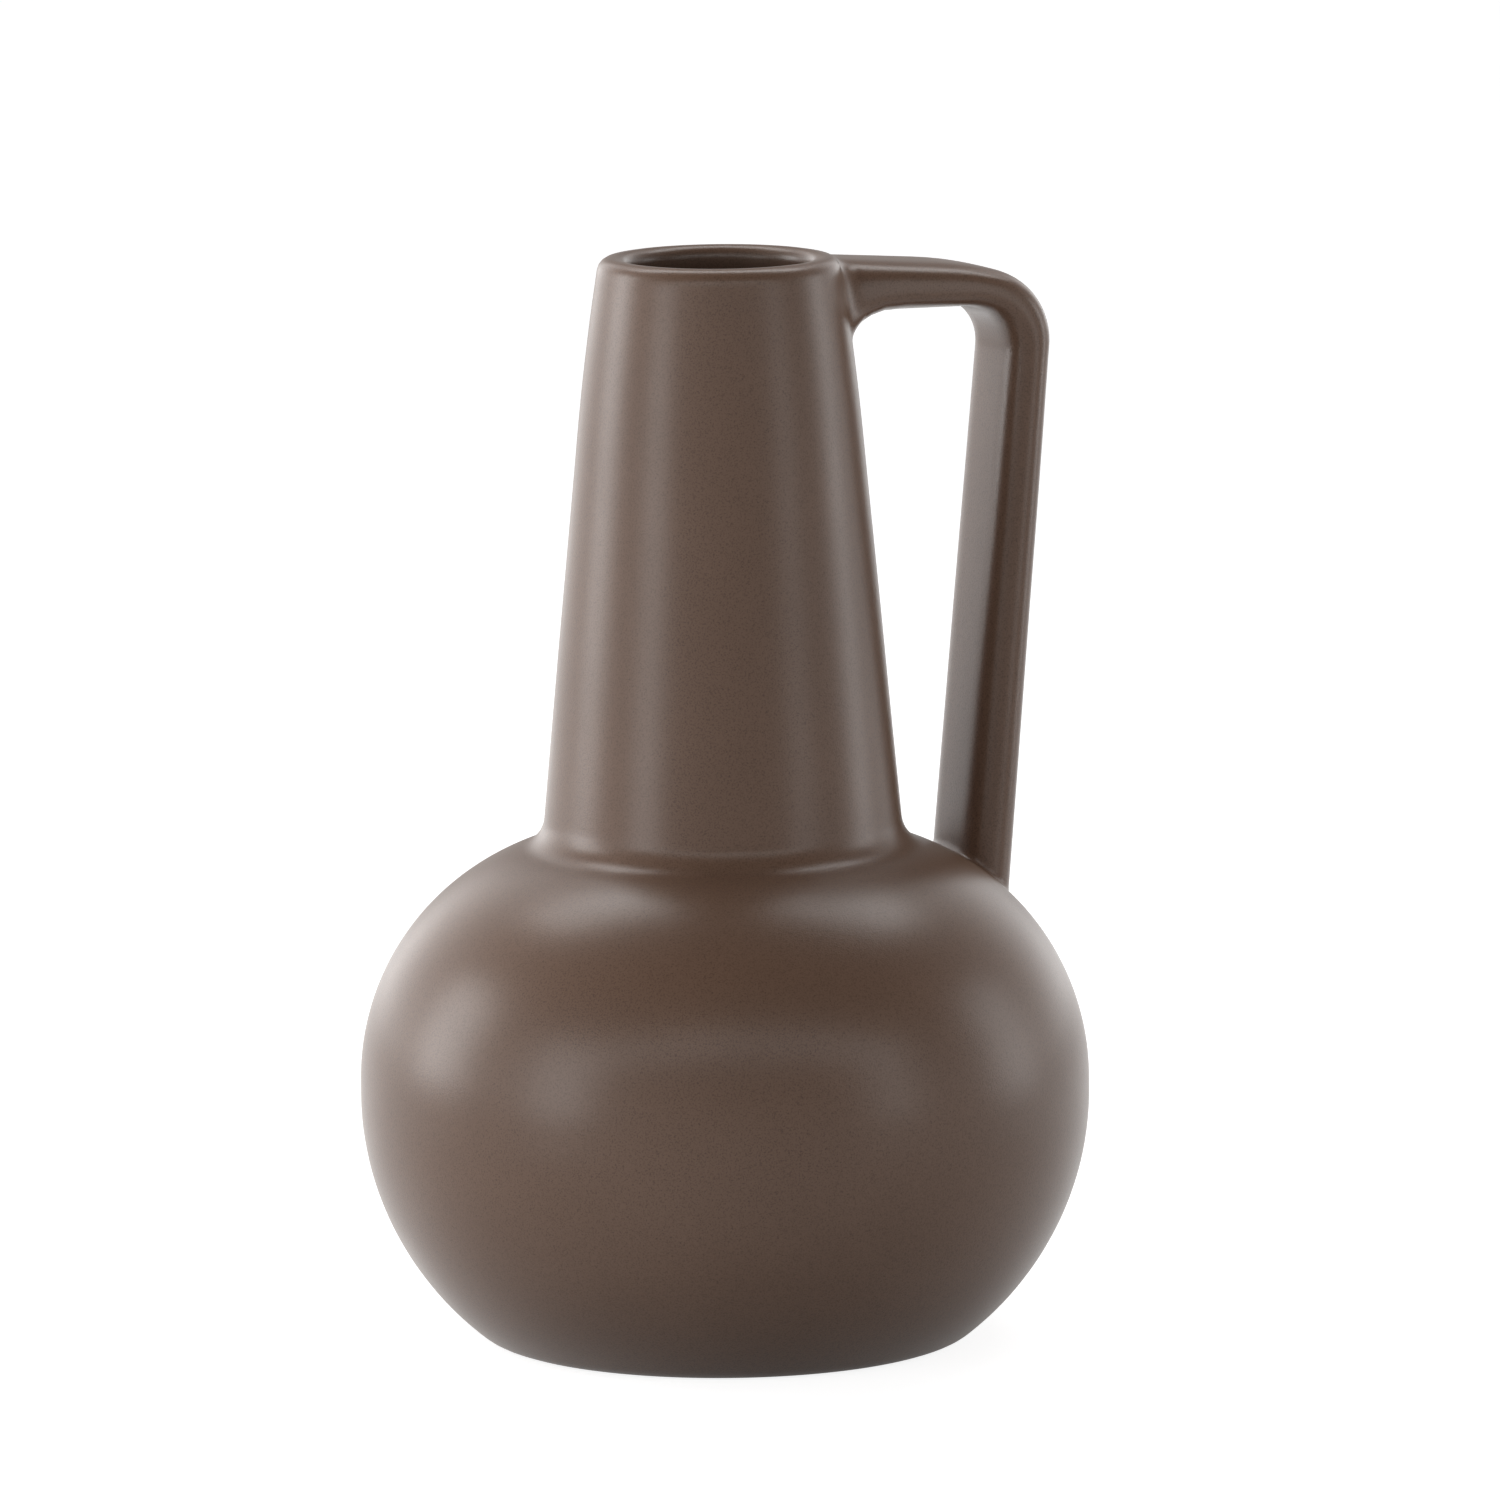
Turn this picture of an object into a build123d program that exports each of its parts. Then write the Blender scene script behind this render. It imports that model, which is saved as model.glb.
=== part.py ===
from build123d import *
from math import acos, atan, cos, degrees, radians, sqrt, tan
import os

# One-handled ceramic jug vase: a round bulb, a tapering neck with a thick rim, and a squared strap handle,
# luted together with slip. Millimetres and degrees. The vessel's axis is Z, its foot stands on Z = 0, and the
# handle reaches out along +X.

# Overall form
HEIGHT = 220.0              # foot plane to rim crest
WALL = 6.2                  # clay wall of bulb and neck, and so of the rim
SLIP = 0.6                  # thickness of the slip in each luted joint

# Bulb: one arc below the belly and one above it, with a short upright band between them
BELLY_RADIUS = 73.8
BELLY_LOW = 50.2            # height where the lower arc ends
BELLY_BAND = 2.7            # from there up to the start of the shoulder arc
LOWER_CENTRE = 11.8         # distance from the axis to the centre of the arc from foot to belly
SHOULDER_CENTRE = 23.4      # the same for the arc from belly to shoulder
FOOT_EDGE_ROUND = 8.0       # where the lower arc runs into the foot
FOOT_RING_WIDTH = 7.0       # flat ring that the vessel stands on
RECESS_DEPTH = 2.0          # hollow underside inside the foot ring
FLOOR_THICKNESS = 8.0       # clay between that recess and the inside
FLOOR_ROUND = 9.0           # inside, where the floor meets the wall

# Neck: a straight cone that runs into the shoulder through a cove
NECK_FOOT_RADIUS = 36.4     # outside, at the level where the shoulder arc would close
RIM_RADIUS = 25.4           # outside, at the rim crest
COVE_RADIUS = 7.0           # hollow between neck and shoulder
COLLAR_LAND = 3.6           # shoulder that the neck's collar still carries beyond the cove
RIM_OUTER_ROUND = 2.9
RIM_INNER_ROUND = 2.4

# Handle: a strap of rounded rectangular section, drawn in side view
HANDLE_WIDTH = 20.8         # across, along Y
HANDLE_EDGE_ROUND = 3.3
ARM_DROP = 1.65             # from the rim crest down to the top of the arm, at the neck
ARM_THICKNESS = 10.3        # at the neck
ARM_SLOPE = 4.2             # angle at which the top of the arm falls, up to the knee
ARM_FALL = 14.5             # angle at which it falls beyond the knee
KNEE_ROUND = 75.0
FALL_RUN = 0.6              # straight stretch between the rounds of the knee and of the outer corner
UNDERSIDE_SLOPE = 1.0       # angle at which the underside of the arm falls
STRAP_REACH = 71.4          # the sharp outer corner's distance from the axis
STRAP_THICKNESS = 9.7       # at the level of that corner
STRAP_LEAN = 4.85           # angle of the outer face, towards the neck going down
STRAP_TAPER = 0.8           # angle by which the inner face leans more, so the strap thickens going down
OUTER_CORNER_ROUND = 15.0
INNER_CORNER_ROUND = 9.0
ROOT_ROUND = 14.0           # hollow under the arm, where it meets the neck
ROOT_SINK = 5.0             # how far inside the neck that hollow would end

# Worked out from the sizes above
SHOULDER_LEVEL = BELLY_LOW + BELLY_BAND
SHOULDER_ARC = BELLY_RADIUS - SHOULDER_CENTRE
LOWER_ARC = BELLY_RADIUS - LOWER_CENTRE
CROWN_LEVEL = SHOULDER_LEVEL + SHOULDER_ARC
NECK_TAPER = (NECK_FOOT_RADIUS - RIM_RADIUS) / (HEIGHT - CROWN_LEVEL)
MOUTH_RADIUS = RIM_RADIUS - WALL
SEAT_RADIUS = NECK_FOOT_RADIUS + COVE_RADIUS + COLLAR_LAND
FLOOR_LEVEL = RECESS_DEPTH + FLOOR_THICKNESS
ARM_TOP = HEIGHT - ARM_DROP
UNDERSIDE = ARM_TOP - ARM_THICKNESS
OVERRUN = WALL              # how far a cutting shape runs past what it cuts


def neck_radius(level):
    """Outside radius of the neck's cone at a level."""
    return RIM_RADIUS + NECK_TAPER * (HEIGHT - level)


def arc_radius(arc, centre, drop):
    """Radius that a bulb arc reaches at a level this far from its centre."""
    return centre + sqrt(arc ** 2 - drop ** 2)


def corner_near(section, radius, level):
    """The corner of a section that lies nearest to a place."""
    return section.vertices().sort_by_distance((radius, level))[0]


def bulb_outline(inset=0.0):
    """Filled half section of the bulb with its arcs drawn in by inset. It still runs on below the foot."""
    upper = CenterArc((SHOULDER_CENTRE, SHOULDER_LEVEL), SHOULDER_ARC - inset, 0, 90)
    lower = CenterArc((LOWER_CENTRE, BELLY_LOW), LOWER_ARC - inset, -90, 90)
    band = Line(lower @ 1, upper @ 0)
    axis_side = Polyline(upper @ 1, (0, (upper @ 1).Y), (0, (lower @ 0).Y), lower @ 0)
    return make_face([upper, lower, band, *axis_side.edges()])


def neck_outline(inset, top):
    """Filled half section of the neck's cone, drawn in by inset, from inside the bulb up to a level."""
    foot = neck_radius(SHOULDER_LEVEL) - inset
    return make_face(Polyline((0, SHOULDER_LEVEL), (foot, SHOULDER_LEVEL), (neck_radius(top) - inset, top),
                              (0, top), close=True))


def above(level):
    """Half plane above a level, large enough to trim any section of the vessel."""
    return Pos(0, level) * Rectangle(BELLY_RADIUS + OVERRUN, HEIGHT, align=(Align.MIN, Align.MIN))


def outside_form(grow=0.0):
    """Filled half section of bulb and neck, grown by a layer, with its corners still sharp."""
    return (bulb_outline(-grow) & above(0)) + neck_outline(-grow, HEIGHT)


def outside_section():
    """Filled half section of the vessel with its rounded foot edge, its cove and its rounded rim."""
    section = outside_form()
    section = fillet(corner_near(section, arc_radius(LOWER_ARC, LOWER_CENTRE, BELLY_LOW), 0), FOOT_EDGE_ROUND)
    section = fillet(corner_near(section, NECK_FOOT_RADIUS, CROWN_LEVEL), COVE_RADIUS)
    return fillet(corner_near(section, RIM_RADIUS, HEIGHT), RIM_OUTER_ROUND)


def cavity_section():
    """Half section of the hollow, one wall in from the outside and open through the mouth."""
    hollow = bulb_outline(WALL) & above(FLOOR_LEVEL)
    floor_radius = arc_radius(LOWER_ARC - WALL, LOWER_CENTRE, BELLY_LOW - FLOOR_LEVEL)
    hollow = fillet(corner_near(hollow, floor_radius, FLOOR_LEVEL), FLOOR_ROUND)
    hollow += neck_outline(WALL, HEIGHT + OVERRUN)
    return fillet(corner_near(hollow, NECK_FOOT_RADIUS - WALL, CROWN_LEVEL - WALL), COVE_RADIUS + WALL)


def recess_section():
    """Half section of the shallow hollow under the floor, inside the foot ring."""
    foot_radius = arc_radius(LOWER_ARC - FOOT_EDGE_ROUND, LOWER_CENTRE, BELLY_LOW - FOOT_EDGE_ROUND)
    return Rectangle(foot_radius - FOOT_RING_WIDTH, RECESS_DEPTH, align=(Align.MIN, Align.MIN))


def slip_band():
    """Strip across the wall, square to the shoulder, where the neck's collar is luted into the bulb."""
    bearing = degrees(acos((SEAT_RADIUS - SHOULDER_CENTRE) / SHOULDER_ARC))
    across_wall = Pos(SHOULDER_CENTRE, SHOULDER_LEVEL) * Rot(0, 0, bearing) * Pos(SHOULDER_ARC - WALL / 2, 0)
    return across_wall * Rectangle(WALL + 2 * OVERRUN, SLIP)


def turned(section):
    """A half section turned once round the vessel's axis, with its seam on the side away from the handle."""
    return Rot(0, 0, 180) * revolve(Plane.XZ * section, Axis.Z)


def vessel_pieces():
    """The bulb, the neck, and the ring of slip between them."""
    clay = outside_section() - cavity_section() - recess_section()
    clay = fillet(corner_near(clay, MOUTH_RADIUS, HEIGHT), RIM_INNER_ROUND)
    bulb, neck = (clay - slip_band()).faces().sort_by(Axis.Y)
    return turned(bulb), turned(neck), turned(clay & slip_band())


def falling_line(start, angle, reach):
    """Point at a distance from the axis, on a line that falls outwards from start at an angle."""
    return (reach, start[1] - (reach - start[0]) * tan(radians(angle)))


def leaning_line(start, angle, level):
    """Point at a level, on a line that leans from start towards the axis going down."""
    return (start[0] - (start[1] - level) * tan(radians(angle)), level)


def crossing(flat_start, flat_angle, steep_start, steep_angle):
    """Point where a falling line crosses a leaning line."""
    fall = tan(radians(flat_angle))
    lean = tan(radians(steep_angle))
    offset = flat_start[0] - steep_start[0]
    drop = flat_start[1] - steep_start[1]
    level = flat_start[1] - fall * (lean * drop - offset) / (1 + fall * lean)
    return leaning_line(steep_start, steep_angle, level)


def handle_outline():
    """Side view of the handle. Both of its ends run on into the vessel."""
    root = (neck_radius(ARM_TOP), ARM_TOP)
    corner_run = OUTER_CORNER_ROUND * tan(radians(90 - ARM_FALL + STRAP_LEAN) / 2)
    knee_run = KNEE_ROUND * tan(radians(ARM_FALL - ARM_SLOPE) / 2)
    fall = (knee_run + FALL_RUN + corner_run) * cos(radians(ARM_FALL))
    knee = falling_line(root, ARM_SLOPE, STRAP_REACH - fall)
    corner = falling_line(knee, ARM_FALL, STRAP_REACH)
    inner_top = (corner[0] - STRAP_THICKNESS, corner[1])
    inner_lean = STRAP_LEAN + STRAP_TAPER
    armpit = (neck_radius(UNDERSIDE), UNDERSIDE)
    inner_corner = crossing(armpit, UNDERSIDE_SLOPE, inner_top, inner_lean)
    sunk = (armpit[0] - ROOT_SINK, UNDERSIDE)
    root_end = leaning_line(sunk, -degrees(atan(NECK_TAPER)), UNDERSIDE - 2 * ROOT_ROUND)
    inside = MOUTH_RADIUS / 2
    outline = make_face(Polyline(
        falling_line(root, ARM_SLOPE, inside), knee, corner,
        leaning_line(corner, STRAP_LEAN, SHOULDER_LEVEL), leaning_line(inner_top, inner_lean, SHOULDER_LEVEL),
        inner_corner, sunk, root_end, (inside, root_end[1]), close=True))
    for place, radius in ((knee, KNEE_ROUND), (corner, OUTER_CORNER_ROUND),
                          (inner_corner, INNER_CORNER_ROUND), (sunk, ROOT_ROUND)):
        outline = fillet(corner_near(outline, *place), radius)
    return outline


def handle_blank():
    """The strap with its rounded edges, before its ends are trimmed to the vessel."""
    strap = extrude(Plane.XZ * handle_outline(), HANDLE_WIDTH / 2, both=True)
    return fillet(strap.faces().filter_by(Axis.Y).edges(), HANDLE_EDGE_ROUND)


def handle_pieces():
    """The handle, and the two layers of slip between its ends and the vessel."""
    blank = handle_blank()
    seated = turned(outside_form(SLIP))
    slip = (blank & seated) - turned(outside_section())
    foot_slip, top_slip = slip.solids().sort_by(Axis.Z)
    return blank - seated, top_slip, foot_slip


def build():
    """All pieces by name, written one file each."""
    bulb, neck, neck_slip = vessel_pieces()
    handle, top_slip, foot_slip = handle_pieces()
    pieces = {
        "bulb": bulb,
        "neck": neck,
        "handle": handle,
        "neck_slip_joint": neck_slip,
        "handle_top_slip_joint": top_slip,
        "handle_foot_slip_joint": foot_slip,
    }
    os.makedirs("parts", exist_ok=True)
    for name, piece in pieces.items():
        piece.label = name
        export_step(piece, f"parts/{name}.step")


build()
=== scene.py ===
"""One-handled ceramic jug vase: a glazed bulb, neck and handle, the slip that joins them, and a plain studio.

Lengths are in metres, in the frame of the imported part: the vessel's axis is Z, its foot stands on Z = 0 and
the handle reaches out along +X. A place in the half section is (distance from the axis, level).
"""
from math import acos, asin, atan, ceil, copysign, cos, hypot, pi, radians, sin, sqrt, tan, tau

import bmesh
import bpy
from bpy.props import FloatProperty, FloatVectorProperty, IntProperty, PointerProperty
from mathutils import Matrix, Vector, noise
from mathutils.geometry import intersect_line_line_2d


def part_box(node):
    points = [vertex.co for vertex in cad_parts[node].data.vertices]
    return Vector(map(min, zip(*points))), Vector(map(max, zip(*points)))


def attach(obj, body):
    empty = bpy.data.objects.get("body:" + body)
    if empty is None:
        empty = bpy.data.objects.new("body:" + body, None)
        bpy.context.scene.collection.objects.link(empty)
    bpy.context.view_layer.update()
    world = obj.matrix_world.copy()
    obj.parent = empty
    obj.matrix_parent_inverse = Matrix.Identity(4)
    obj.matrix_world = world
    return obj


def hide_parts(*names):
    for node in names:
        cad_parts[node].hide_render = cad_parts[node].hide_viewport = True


bl_info = {
    "name": "Ceramic jug vase",
    "version": (1, 0, 0),
    "blender": (4, 5, 0),
    "location": "View3D > Sidebar > Jug vase",
    "description": "Models a one-handled jug vase around its packed frame, glazes it and lights it",
    "category": "Add Mesh",
}

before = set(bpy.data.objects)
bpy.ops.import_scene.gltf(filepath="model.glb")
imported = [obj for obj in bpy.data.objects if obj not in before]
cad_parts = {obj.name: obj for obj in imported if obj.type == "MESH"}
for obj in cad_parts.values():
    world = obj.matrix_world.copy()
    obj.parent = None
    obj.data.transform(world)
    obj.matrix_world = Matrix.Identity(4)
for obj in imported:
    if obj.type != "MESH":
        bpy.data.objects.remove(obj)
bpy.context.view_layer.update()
BODY = "root"
MM = 0.001

# Mesh fineness
OUTSIDE_PITCH = 1.3 * MM    # along the half section, on what shows
INSIDE_PITCH = 3.0 * MM     # the same inside the vessel
SEAM_PITCH = 0.4 * MM       # last stretch before a flush joint, so that the shading runs on across it
STRAP_PITCH = 3.0 * MM      # along the handle
CHAIN_PITCH = 0.5 * MM      # along the rounds of the handle's side view
NECK_STEPS = 8              # stretches of the neck's outline where it is drawn in towards the rim
SECTION_CORNERS = 64        # once round the handle
BEAD_STEPS = 16             # stretches across a fillet of slip
CAP_SHRINKS = (0.3, 0.65)   # smaller sections that close an end of the handle or of its slip
END_GAPS = [gap * MM for gap in (1.2, 2.0, 3.0, 5.0, 8.0)]  # of the handle's end sections off the vessel
HALVINGS = 24               # steps in the search for a place that lies a given gap off the vessel
SEARCH_RISE = 0.25          # start of the search for the foot, over the shoulder's centre, in strap reaches
MERGE_DISTANCE = 0.001 * MM
SHARP_ANGLE = radians(50)   # a steeper edge between two faces stays sharp
UNEVEN_SEED = 1             # makes the surface stray in the same way at each run

# Slip, glaze and clay
TOP_SPREAD = 1.0                # how far the upper fillet of slip spreads on the neck, as a share of it
CREST_SHARE = 0.25              # share of the rim's outer round, from the crest down, that it leaves free
BARE_LEVEL = 0.3 * MM           # faces of the bulb below it are bare clay
CLOUDS = (28.0, 3.0)            # scale per metre and detail of a noise
MOTTLE = (3000.0, 2.0)
CLAY_GRAIN = (900.0, 4.0)
CLOUD_RANGE = (0.35, 0.7)       # values of the clouds' noise from thick glaze to thin
FLECK_RANGE = (0.46, 0.74)      # values of the mottle's noise from no fleck to a full one
FLECK_SHARE = 0.6               # of the fleck's colour, in a full one
ROUGHNESS_SPREAD = 0.05         # by which the clouds make the glaze rougher or smoother
GLAZE_SKIN = (0.22, 0.15 * MM)  # strength and depth of a bump
CLAY_SKIN = (0.3, 0.2 * MM)
CLAY_ROUGHNESS = 0.85

# Camera at the photograph's viewing angle, in its square frame
CAMERA_TURN = radians(25)       # how far the handle points away from the camera's right
CAMERA_RISE = radians(9)
CAMERA_ROLL = radians(-0.4)
CAMERA_DISTANCE = 2.6
CAMERA_LENS = 309.07            # millimetres, as is the sensor
SENSOR_WIDTH = 36.0
CAMERA_REACH = 50.0
AIM_RIGHT = 5.55 * MM           # what the camera aims at, to the right of the axis
AIM_LEVEL = 119.71 * MM

# Room, lights and floor. Azimuth 0 is towards the camera, and positive to the camera's right
BRIGHT_SIDE = (radians(-150), radians(-65))             # azimuth and elevation of the room's bright side
GAP_EDGES = (cos(radians(22)), cos(radians(8)))         # where the dark gap right behind starts and is full
GAP_DIMMING = 0.2
BAND_EDGES = (cos(radians(52)), cos(radians(28)))       # the same for the brighter bands on both sides of it
BAND_GAIN = 1.36
GAP_START = 0.4                 # how far behind the vessel the gap starts on the floor
BELLY_LEVEL = 70 * MM           # what the lights face, on the axis
LIGHTS = (
    # name, its brightness, azimuth and elevation in degrees, distance, width and height
    ("left_softbox", "left_box", -101, 14.6, 1.1, 0.42, 0.62),
    ("left_front_softbox", "left_front_box", -51, 10, 0.62, 0.19, 0.35),
    ("right_softbox", "right_box", 100, 11, 0.62, 0.18, 0.37),
    ("right_front_softbox", "right_front_box", 52, 9, 0.62, 0.16, 0.33),
    ("top_panel", "top_panel", 180, 66, 1.4, 1.8, 0.50),
    ("front_bar", "front_bar", 5, 32, 0.9, 1.8, 0.12),
)
WHITE = (1, 1, 1, 1)
FLOOR_RADIUS = 4.0
FLOOR_SEGMENTS = 96
FLOOR_ROUGHNESS = 0.7
FLOOR_DROP = 0.03 * MM          # from the foot plane down to the floor, so that the two do not share a plane
FLOOR_GLOW = 0.86               # by which the camera sees the floor brighter than it is lit
FLOOR_SHEEN = 0.45              # share of the room's light that the floor adds in the glaze


def length(name, description, default):
    """A length that a user may set, in metres."""
    return FloatProperty(name=name, description=description, default=default, min=0.0, precision=5,
                         subtype="DISTANCE", unit="LENGTH")


def slant(name, description, default):
    """An angle that a user may set, given in degrees."""
    return FloatProperty(name=name, description=description, default=radians(default), precision=3,
                         subtype="ANGLE", unit="ROTATION")


def share(name, description, default):
    """A value from 0 to 1 that a user may set."""
    return FloatProperty(name=name, description=description, default=default, min=0.0, max=1.0,
                         subtype="FACTOR")


def amount(name, description, default):
    """A plain number that a user may set."""
    return FloatProperty(name=name, description=description, default=default, min=0.0)


def tint(name, description, default):
    """A colour that a user may set, as linear red, green and blue."""
    return FloatVectorProperty(name=name, description=description, default=default, size=3, min=0.0, max=1.0,
                               subtype="COLOR")


class VesselSizes(bpy.types.PropertyGroup):
    """Sizes of the bulb and the neck."""
    height: length("Height", "From the foot plane to the rim crest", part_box("neck")[1].z)
    wall: length("Wall", "Clay wall of bulb and neck", 6.2 * MM)
    slip: length("Slip", "Thickness of the slip in a joint", 0.6 * MM)
    belly_radius: length("Belly radius", "Largest radius of the bulb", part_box("bulb")[1].x)
    belly_low: length("Belly level", "Level where the lower arc ends", 50.2 * MM)
    belly_band: length("Belly band", "Upright band between the two arcs of the bulb", 2.7 * MM)
    lower_centre: length("Lower centre", "From the axis to the centre of the lower arc", 11.8 * MM)
    shoulder_centre: length("Shoulder centre", "From the axis to the centre of the shoulder arc", 23.4 * MM)
    foot_edge_round: length("Foot edge", "Round where the lower arc runs into the foot", 8.0 * MM)
    foot_ring_width: length("Foot ring", "Width of the flat ring that the vessel stands on", 7.0 * MM)
    recess_depth: length("Recess depth", "Depth of the hollow underside", 2.0 * MM)
    recess_round: length("Recess round", "Round of the two edges of that hollow", 0.9 * MM)
    floor_thickness: length("Floor", "Clay between the recess and the inside", 8.0 * MM)
    floor_round: length("Floor round", "Inside, where the floor meets the wall", 9.0 * MM)
    neck_foot_radius: length("Neck foot", "Radius of the neck where the shoulder arc would close", 36.4 * MM)
    rim_radius: length("Rim radius", "Radius at the rim crest of the neck's straight cone", 25.4 * MM)
    rim_drawn_in: length("Rim drawn in", "How far the neck is drawn in from that cone at the crest", 1.2 * MM)
    draw_in_run: length("Drawn-in run", "Length of neck below the crest that is drawn in", 36.0 * MM)
    lip: length("Lip", "How much the rim is thicker inwards than the wall", 0.9 * MM)
    cove_radius: length("Cove", "Hollow between neck and shoulder", 7.0 * MM)
    collar_land: length("Collar land", "Shoulder that the neck's collar carries beyond the cove", 3.6 * MM)
    rim_outer_round: length("Outer rim round", "Round of the rim's outer edge", 2.9 * MM)
    rim_inner_round: length("Inner rim round", "Round of the rim's inner edge", 2.4 * MM)
    segments: IntProperty(name="Segments", description="Faces once round the vessel", default=160, min=24,
                          subtype="UNSIGNED")
    unevenness: length("Unevenness", "How far the hand-finished surface strays", 0.12 * MM)
    uneven_span: length("Uneven span", "Distance over which it strays", 45.0 * MM)


class HandleSizes(bpy.types.PropertyGroup):
    """Sizes of the handle and of the slip beads at its two ends."""
    width: length("Width", "Across the strap", 23.4 * MM)
    arm_fullness: amount("Arm fullness", "Power of the arm's section across, where 2 is an ellipse", 4.0)
    arm_side: amount("Arm side", "Power of the arm's section through its thickness", 2.5)
    strap_fullness: amount("Strap fullness", "Power of the strap's inner face across", 4.6)
    strap_back: amount("Strap back", "Power of the strap's outer face across", 3.2)
    strap_side: amount("Strap side", "Power of the strap's section through its thickness", 2.0)
    arm_drop: length("Arm drop", "From the rim crest down to the top of the arm", 1.3 * MM)
    arm_thickness: length("Arm thickness", "At the neck", 10.65 * MM)
    arm_slope: slant("Arm slope", "At which the top of the arm falls up to the knee", 4.7)
    arm_fall: slant("Arm fall", "At which it falls beyond the knee", 14.5)
    knee_setback: length("Knee setback", "From the sharp outer corner back to the knee", 19.4 * MM)
    knee_round: length("Knee round", "Round of the knee", 75.0 * MM)
    underside_slope: slant("Underside slope", "At which the underside of the arm falls", 1.0)
    strap_reach: length("Strap reach", "From the axis to the sharp outer corner", 71.75 * MM)
    strap_thickness: length("Strap thickness", "At the level of that corner", 9.7 * MM)
    strap_lean: slant("Strap lean", "Of the outer face, towards the neck going down", 4.85)
    strap_taper: slant("Strap taper", "By which the inner face leans more", 0.8)
    outer_corner_round: length("Outer corner", "Round of the outer corner", 15.0 * MM)
    inner_corner_round: length("Inner corner", "Round of the inner corner", 9.0 * MM)
    root_round: length("Root round", "Hollow under the arm at the neck", 13.0 * MM)
    root_sink: length("Root sink", "How far inside the neck that hollow would end", 5.0 * MM)
    top_bead: length("Top bead", "Fillet of slip on top of the arm at the neck", 3.0 * MM)
    top_side_bead: length("Top side bead", "The same along the arm's two sides", 5.0 * MM)
    top_under_bead: length("Top under bead", "The same below the arm", 1.2 * MM)
    foot_bead: length("Foot bead", "Fillet of slip round the strap at the shoulder", 1.4 * MM)
    foot_inner_bead: length("Inner foot bead", "The same on the strap's inner face", 2.2 * MM)
    foot_spread: share("Foot spread", "How far that fillet spreads on the shoulder, as a share of it", 0.7)


class GlazeLooks(bpy.types.PropertyGroup):
    """Colours and gloss of the glaze and of the bare clay, and the painted shade inside the vessel."""
    glaze: tint("Glaze", "Main colour of the glaze", (0.138, 0.081, 0.0545))
    glaze_light: tint("Light cloud", "Where the glaze is thin", (0.156, 0.093, 0.0635))
    glaze_dark: tint("Dark fleck", "Specks in the glaze", (0.046, 0.027, 0.018))
    # Painted shade: a near-black colour that stands in for the shade deep inside bulb and neck, in place of
    # the glaze's own colour
    painted_inside_shade: tint("Inside", "Glaze deep inside the neck", (0.012, 0.008, 0.006))
    inside_run: length("Inside run", "Depth below the rim over which it turns to that colour", 9.0 * MM)
    clay: tint("Clay", "Bare clay under the foot", (0.36, 0.30, 0.24))
    clay_dark: tint("Clay grain", "Grain of the bare clay", (0.22, 0.18, 0.14))
    roughness: share("Roughness", "Roughness of the satin glaze", 0.30)
    shine: share("Shine", "Specular level of the glaze, where 0.5 is glass", 0.42)


class StudioLooks(bpy.types.PropertyGroup):
    """Brightness of the lights and the room, and the colour of the floor."""
    left_box: amount("Left softbox", "Brightness, where 1 is a white surface", 4.8)
    left_front_box: amount("Left front softbox", "Brightness, where 1 is a white surface", 3.1)
    right_box: amount("Right softbox", "Brightness, where 1 is a white surface", 2.5)
    right_front_box: amount("Right front softbox", "Brightness, where 1 is a white surface", 1.4)
    top_panel: amount("Top panel", "Brightness, where 1 is a white surface", 4.4)
    front_bar: amount("Front bar", "Brightness, where 1 is a white surface", 2.6)
    room: amount("Room", "Brightness of the room behind the vessel, to the left", 3.7)
    room_fall: amount("Room fall", "Power by which the room gets darker towards the camera and overhead", 1.5)
    floor: tint("Floor", "Colour of the floor", (0.4, 0.4, 0.4))


class Outline:
    """A chain of edges in the XZ plane, drawn one stretch after another."""

    def __init__(self, bm, start, pitch):
        self.bm = bm
        self.pitch = pitch
        self.first = self.tip = bm.verts.new((start[0], 0, start[1]))

    def place(self):
        """Where the chain ends so far."""
        return Vector((self.tip.co.x, self.tip.co.z))

    def line(self, end, pitch=None):
        """Goes straight on to a place."""
        start, end = self.place(), Vector(end)
        steps = max(1, ceil((end - start).length / (pitch or self.pitch)))
        for step in range(1, steps + 1):
            self.tip = bmesh.ops.extrude_vert_indiv(self.bm, verts=[self.tip])["verts"][0]
            spot = start.lerp(end, step / steps)
            self.tip.co = (spot.x, 0, spot.y)

    def arc(self, centre, turn, pitch=None):
        """Swings round a centre, anticlockwise where turn is positive."""
        centre = Vector(centre)
        steps = max(2, ceil((self.place() - centre).length * abs(turn) / (pitch or self.pitch)))
        spun = bmesh.ops.spin(self.bm, geom=[self.tip], cent=(centre.x, 0, centre.y), axis=(0, -1, 0),
                              angle=turn, steps=steps)
        self.tip = next(v for v in spun["geom_last"] if isinstance(v, bmesh.types.BMVert))

    def corner(self, corner, towards, radius):
        """Goes on to a corner and rounds it, up to where the way towards the next place starts."""
        start, centre, turn = corner_arc(self.place(), Vector(corner), Vector(towards), radius)
        self.line(start)
        self.arc(centre, turn)

    def close(self):
        """Joins the end to the start."""
        self.bm.edges.new((self.tip, self.first))


def corner_arc(before, corner, after, radius):
    """Where the round of a corner starts, its centre and its turn."""
    back = (before - corner).normalized()
    ahead = (after - corner).normalized()
    half = back.angle(ahead) / 2
    turn = pi - 2 * half
    if back.x * ahead.y - back.y * ahead.x > 0:
        turn = -turn
    start = corner + back * (radius / tan(half))
    centre = corner + (back + ahead).normalized() * (radius / sin(half))
    return start, centre, turn


def bearing(angle):
    """Unit step in the half section, at an angle above the level."""
    return Vector((cos(angle), sin(angle)))


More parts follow.
